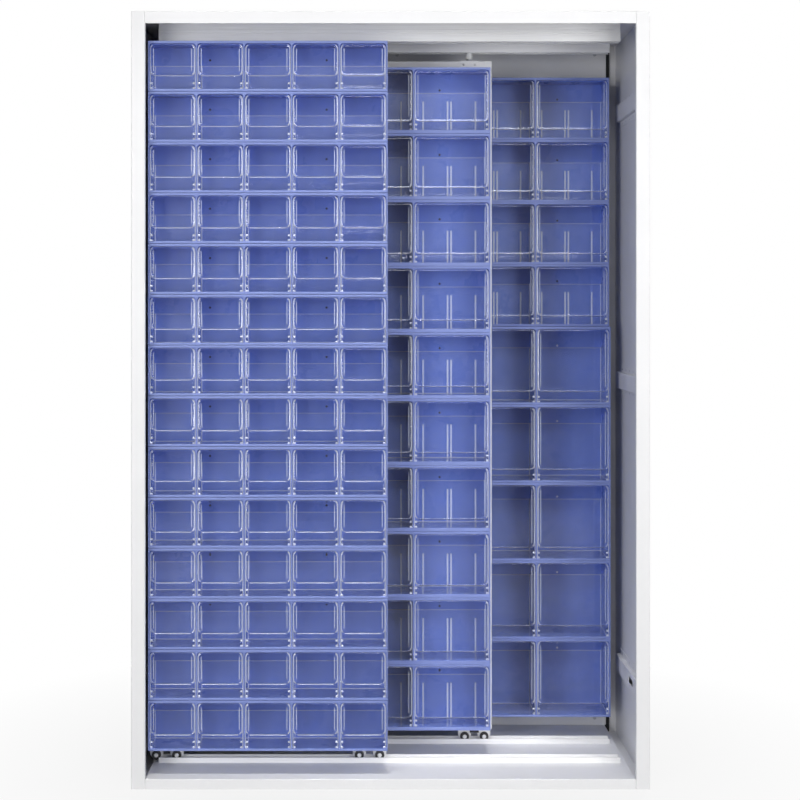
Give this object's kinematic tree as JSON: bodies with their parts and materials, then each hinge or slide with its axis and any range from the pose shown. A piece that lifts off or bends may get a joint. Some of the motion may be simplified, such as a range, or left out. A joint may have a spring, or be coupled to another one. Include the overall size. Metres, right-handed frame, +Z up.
{
  "type": "sliding door cabinet",
  "caption": "Tall open-front steel storage cabinet: two half-width banks of clear tilt-out bins slide on floor rails past each other, in front of a fixed rear bank.",
  "frame": {"origin": "centre of the cabinet's footprint at floor level", "axes": "+Z up, -Y out of the open front, +X to the right as seen from the front"},
  "size_m": [1.28, 0.54, 1.92],
  "materials": {
    "white_paint": "satin powder coat",
    "rail": "satin",
    "blue_plastic": "satin",
    "clear_plastic": "clear gloss",
    "bogie_plate": "satin",
    "tyre": "matt",
    "nylon": "matt"
  },
  "bodies": {
    "carcass": {"left_side": "white_paint", "right_side": "white_paint", "top_panel": "white_paint", "bottom_panel": "white_paint", "back_panel": "white_paint", "side_stiffeners": "white_paint", "top_guides": "rail", "bottom_rails": "rail", "rear_cassettes": "blue_plastic", "rear_bins_left": "clear_plastic"},
    "front_bank": {"front_frame": "white_paint", "front_cassettes": "blue_plastic", "front_bogies": "bogie_plate", "front_guide_pins": "nylon"},
    "middle_bank": {"middle_frame": "white_paint", "middle_cassettes": "blue_plastic", "middle_bogies": "bogie_plate", "middle_guide_pins": "nylon", "middle_bins_left": "clear_plastic"},
    "front_bins_01": {"front_bins_01": "clear_plastic"},
    "front_bins_02": {"front_bins_02": "clear_plastic"},
    "front_bins_03": {"front_bins_03": "clear_plastic"},
    "front_bins_04": {"front_bins_04": "clear_plastic"},
    "front_bins_05": {"front_bins_05": "clear_plastic"},
    "front_bins_06": {"front_bins_06": "clear_plastic"},
    "front_bins_07": {"front_bins_07": "clear_plastic"},
    "front_bins_08": {"front_bins_08": "clear_plastic"},
    "front_bins_09": {"front_bins_09": "clear_plastic"},
    "front_bins_10": {"front_bins_10": "clear_plastic"},
    "front_bins_11": {"front_bins_11": "clear_plastic"},
    "front_bins_12": {"front_bins_12": "clear_plastic"},
    "front_bins_13": {"front_bins_13": "clear_plastic"},
    "front_bins_14": {"front_bins_14": "clear_plastic"},
    "middle_bin_01": {"middle_bin_01": "clear_plastic"},
    "middle_bin_02": {"middle_bin_02": "clear_plastic"},
    "middle_bin_03": {"middle_bin_03": "clear_plastic"},
    "middle_bin_04": {"middle_bin_04": "clear_plastic"},
    "middle_bin_05": {"middle_bin_05": "clear_plastic"},
    "middle_bin_06": {"middle_bin_06": "clear_plastic"},
    "middle_bin_07": {"middle_bin_07": "clear_plastic"},
    "middle_bin_08": {"middle_bin_08": "clear_plastic"},
    "middle_bin_09": {"middle_bin_09": "clear_plastic"},
    "middle_bin_10": {"middle_bin_10": "clear_plastic"},
    "rear_bin_01": {"rear_bin_01": "clear_plastic"},
    "rear_bin_02": {"rear_bin_02": "clear_plastic"},
    "rear_bin_03": {"rear_bin_03": "clear_plastic"},
    "rear_bin_04": {"rear_bin_04": "clear_plastic"},
    "rear_bin_05": {"rear_bin_05": "clear_plastic"},
    "rear_bin_06": {"rear_bin_06": "clear_plastic"},
    "rear_bin_07": {"rear_bin_07": "clear_plastic"},
    "rear_bin_08": {"rear_bin_08": "clear_plastic"},
    "rear_bin_09": {"rear_bin_09": "clear_plastic"},
    "front_wheel_1": {"front_wheel_1": "tyre"},
    "front_wheel_2": {"front_wheel_2": "tyre"},
    "front_wheel_3": {"front_wheel_3": "tyre"},
    "front_wheel_4": {"front_wheel_4": "tyre"},
    "middle_wheel_1": {"middle_wheel_1": "tyre"},
    "middle_wheel_2": {"middle_wheel_2": "tyre"},
    "middle_wheel_3": {"middle_wheel_3": "tyre"},
    "middle_wheel_4": {"middle_wheel_4": "tyre"}
  },
  "joints": [
    {"name": "front_slide", "type": "slide", "parent": "carcass", "child": "front_bank", "axis": [-1, 0, 0], "range_m": [-0.61, 0]},
    {"name": "middle_slide", "type": "slide", "parent": "carcass", "child": "middle_bank", "axis": [1, 0, 0], "range_m": [-0.269, 0.341]},
    {"name": "front_tilt_01", "type": "hinge", "parent": "front_bank", "child": "front_bins_01", "pos_m": [-0.3052, -0.2244, 0.0916], "axis": [1, 0, 0], "range_deg": [0, 35]},
    {"name": "front_tilt_02", "type": "hinge", "parent": "front_bank", "child": "front_bins_02", "pos_m": [-0.3052, -0.2244, 0.218], "axis": [1, 0, 0], "range_deg": [0, 35]},
    {"name": "front_tilt_03", "type": "hinge", "parent": "front_bank", "child": "front_bins_03", "pos_m": [-0.3052, -0.2244, 0.3444], "axis": [1, 0, 0], "range_deg": [0, 35]},
    {"name": "front_tilt_04", "type": "hinge", "parent": "front_bank", "child": "front_bins_04", "pos_m": [-0.3052, -0.2244, 0.4708], "axis": [1, 0, 0], "range_deg": [0, 35]},
    {"name": "front_tilt_05", "type": "hinge", "parent": "front_bank", "child": "front_bins_05", "pos_m": [-0.3052, -0.2244, 0.5972], "axis": [1, 0, 0], "range_deg": [0, 35]},
    {"name": "front_tilt_06", "type": "hinge", "parent": "front_bank", "child": "front_bins_06", "pos_m": [-0.3052, -0.2244, 0.7236], "axis": [1, 0, 0], "range_deg": [0, 35]},
    {"name": "front_tilt_07", "type": "hinge", "parent": "front_bank", "child": "front_bins_07", "pos_m": [-0.3052, -0.2244, 0.85], "axis": [1, 0, 0], "range_deg": [0, 35]},
    {"name": "front_tilt_08", "type": "hinge", "parent": "front_bank", "child": "front_bins_08", "pos_m": [-0.3052, -0.2244, 0.9764], "axis": [1, 0, 0], "range_deg": [0, 35]},
    {"name": "front_tilt_09", "type": "hinge", "parent": "front_bank", "child": "front_bins_09", "pos_m": [-0.3052, -0.2244, 1.1028], "axis": [1, 0, 0], "range_deg": [0, 35]},
    {"name": "front_tilt_10", "type": "hinge", "parent": "front_bank", "child": "front_bins_10", "pos_m": [-0.3052, -0.2244, 1.2292], "axis": [1, 0, 0], "range_deg": [0, 35]},
    {"name": "front_tilt_11", "type": "hinge", "parent": "front_bank", "child": "front_bins_11", "pos_m": [-0.3052, -0.2244, 1.3556], "axis": [1, 0, 0], "range_deg": [0, 35]},
    {"name": "front_tilt_12", "type": "hinge", "parent": "front_bank", "child": "front_bins_12", "pos_m": [-0.3052, -0.2244, 1.482], "axis": [1, 0, 0], "range_deg": [0, 35]},
    {"name": "front_tilt_13", "type": "hinge", "parent": "front_bank", "child": "front_bins_13", "pos_m": [-0.3052, -0.2244, 1.6084], "axis": [1, 0, 0], "range_deg": [0, 35]},
    {"name": "front_tilt_14", "type": "hinge", "parent": "front_bank", "child": "front_bins_14", "pos_m": [-0.3052, -0.2244, 1.7348], "axis": [1, 0, 0], "range_deg": [0, 35]},
    {"name": "middle_tilt_01", "type": "hinge", "parent": "middle_bank", "child": "middle_bin_01", "pos_m": [0.1618, -0.0624, 0.1036], "axis": [1, 0, 0], "range_deg": [0, 35]},
    {"name": "middle_tilt_02", "type": "hinge", "parent": "middle_bank", "child": "middle_bin_02", "pos_m": [0.1618, -0.0624, 0.27545], "axis": [1, 0, 0], "range_deg": [0, 35]},
    {"name": "middle_tilt_03", "type": "hinge", "parent": "middle_bank", "child": "middle_bin_03", "pos_m": [0.1618, -0.0624, 0.4473], "axis": [1, 0, 0], "range_deg": [0, 35]},
    {"name": "middle_tilt_04", "type": "hinge", "parent": "middle_bank", "child": "middle_bin_04", "pos_m": [0.1618, -0.0624, 0.61915], "axis": [1, 0, 0], "range_deg": [0, 35]},
    {"name": "middle_tilt_05", "type": "hinge", "parent": "middle_bank", "child": "middle_bin_05", "pos_m": [0.1618, -0.0624, 0.791], "axis": [1, 0, 0], "range_deg": [0, 35]},
    {"name": "middle_tilt_06", "type": "hinge", "parent": "middle_bank", "child": "middle_bin_06", "pos_m": [0.1618, -0.0624, 0.96285], "axis": [1, 0, 0], "range_deg": [0, 35]},
    {"name": "middle_tilt_07", "type": "hinge", "parent": "middle_bank", "child": "middle_bin_07", "pos_m": [0.1618, -0.0624, 1.1347], "axis": [1, 0, 0], "range_deg": [0, 35]},
    {"name": "middle_tilt_08", "type": "hinge", "parent": "middle_bank", "child": "middle_bin_08", "pos_m": [0.1618, -0.0624, 1.30655], "axis": [1, 0, 0], "range_deg": [0, 35]},
    {"name": "middle_tilt_09", "type": "hinge", "parent": "middle_bank", "child": "middle_bin_09", "pos_m": [0.1618, -0.0624, 1.4784], "axis": [1, 0, 0], "range_deg": [0, 35]},
    {"name": "middle_tilt_10", "type": "hinge", "parent": "middle_bank", "child": "middle_bin_10", "pos_m": [0.1618, -0.0624, 1.65025], "axis": [1, 0, 0], "range_deg": [0, 35]},
    {"name": "rear_tilt_01", "type": "hinge", "parent": "carcass", "child": "rear_bin_01", "pos_m": [0.498, 0.1006, 0.0941], "axis": [-1, 0, 0], "range_deg": [-35, 0]},
    {"name": "rear_tilt_02", "type": "hinge", "parent": "carcass", "child": "rear_bin_02", "pos_m": [0.498, 0.1006, 0.3042], "axis": [-1, 0, 0], "range_deg": [-35, 0]},
    {"name": "rear_tilt_03", "type": "hinge", "parent": "carcass", "child": "rear_bin_03", "pos_m": [0.498, 0.1006, 0.5143], "axis": [-1, 0, 0], "range_deg": [-35, 0]},
    {"name": "rear_tilt_04", "type": "hinge", "parent": "carcass", "child": "rear_bin_04", "pos_m": [0.498, 0.1006, 0.7244], "axis": [-1, 0, 0], "range_deg": [-35, 0]},
    {"name": "rear_tilt_05", "type": "hinge", "parent": "carcass", "child": "rear_bin_05", "pos_m": [0.498, 0.1006, 0.9345], "axis": [-1, 0, 0], "range_deg": [-35, 0]},
    {"name": "rear_tilt_06", "type": "hinge", "parent": "carcass", "child": "rear_bin_06", "pos_m": [0.498, 0.1256, 1.1446], "axis": [-1, 0, 0], "range_deg": [-35, 0]},
    {"name": "rear_tilt_07", "type": "hinge", "parent": "carcass", "child": "rear_bin_07", "pos_m": [0.498, 0.1256, 1.313], "axis": [-1, 0, 0], "range_deg": [-35, 0]},
    {"name": "rear_tilt_08", "type": "hinge", "parent": "carcass", "child": "rear_bin_08", "pos_m": [0.498, 0.1256, 1.4814], "axis": [-1, 0, 0], "range_deg": [-35, 0]},
    {"name": "rear_tilt_09", "type": "hinge", "parent": "carcass", "child": "rear_bin_09", "pos_m": [0.498, 0.1256, 1.6498], "axis": [-1, 0, 0], "range_deg": [-35, 0]},
    {"name": "front_roll_1", "type": "hinge", "parent": "front_bank", "child": "front_wheel_1", "pos_m": [-0.5972, -0.1155, 0.042], "axis": [0, 1, 0], "continuous": true},
    {"name": "front_roll_2", "type": "hinge", "parent": "front_bank", "child": "front_wheel_2", "pos_m": [-0.5452, -0.1155, 0.042], "axis": [0, 1, 0], "continuous": true},
    {"name": "front_roll_3", "type": "hinge", "parent": "front_bank", "child": "front_wheel_3", "pos_m": [-0.0772, -0.1155, 0.042], "axis": [0, 1, 0], "continuous": true},
    {"name": "front_roll_4", "type": "hinge", "parent": "front_bank", "child": "front_wheel_4", "pos_m": [-0.0252, -0.1155, 0.042], "axis": [0, 1, 0], "continuous": true},
    {"name": "middle_roll_1", "type": "hinge", "parent": "middle_bank", "child": "middle_wheel_1", "pos_m": [-0.3162, 0.0645, 0.042], "axis": [0, 1, 0], "continuous": true},
    {"name": "middle_roll_2", "type": "hinge", "parent": "middle_bank", "child": "middle_wheel_2", "pos_m": [-0.2642, 0.0645, 0.042], "axis": [0, 1, 0], "continuous": true},
    {"name": "middle_roll_3", "type": "hinge", "parent": "middle_bank", "child": "middle_wheel_3", "pos_m": [0.2038, 0.0645, 0.042], "axis": [0, 1, 0], "continuous": true},
    {"name": "middle_roll_4", "type": "hinge", "parent": "middle_bank", "child": "middle_wheel_4", "pos_m": [0.2558, 0.0645, 0.042], "axis": [0, 1, 0], "continuous": true}
  ],
  "couplings": [
    {"joint": "front_roll_1", "follows": "front_slide", "rad_per_m": -85.47},
    {"joint": "front_roll_2", "follows": "front_slide", "rad_per_m": -85.47},
    {"joint": "front_roll_3", "follows": "front_slide", "rad_per_m": -85.47},
    {"joint": "front_roll_4", "follows": "front_slide", "rad_per_m": -85.47},
    {"joint": "middle_roll_1", "follows": "middle_slide", "rad_per_m": 85.47},
    {"joint": "middle_roll_2", "follows": "middle_slide", "rad_per_m": 85.47},
    {"joint": "middle_roll_3", "follows": "middle_slide", "rad_per_m": 85.47},
    {"joint": "middle_roll_4", "follows": "middle_slide", "rad_per_m": 85.47}
  ]
}
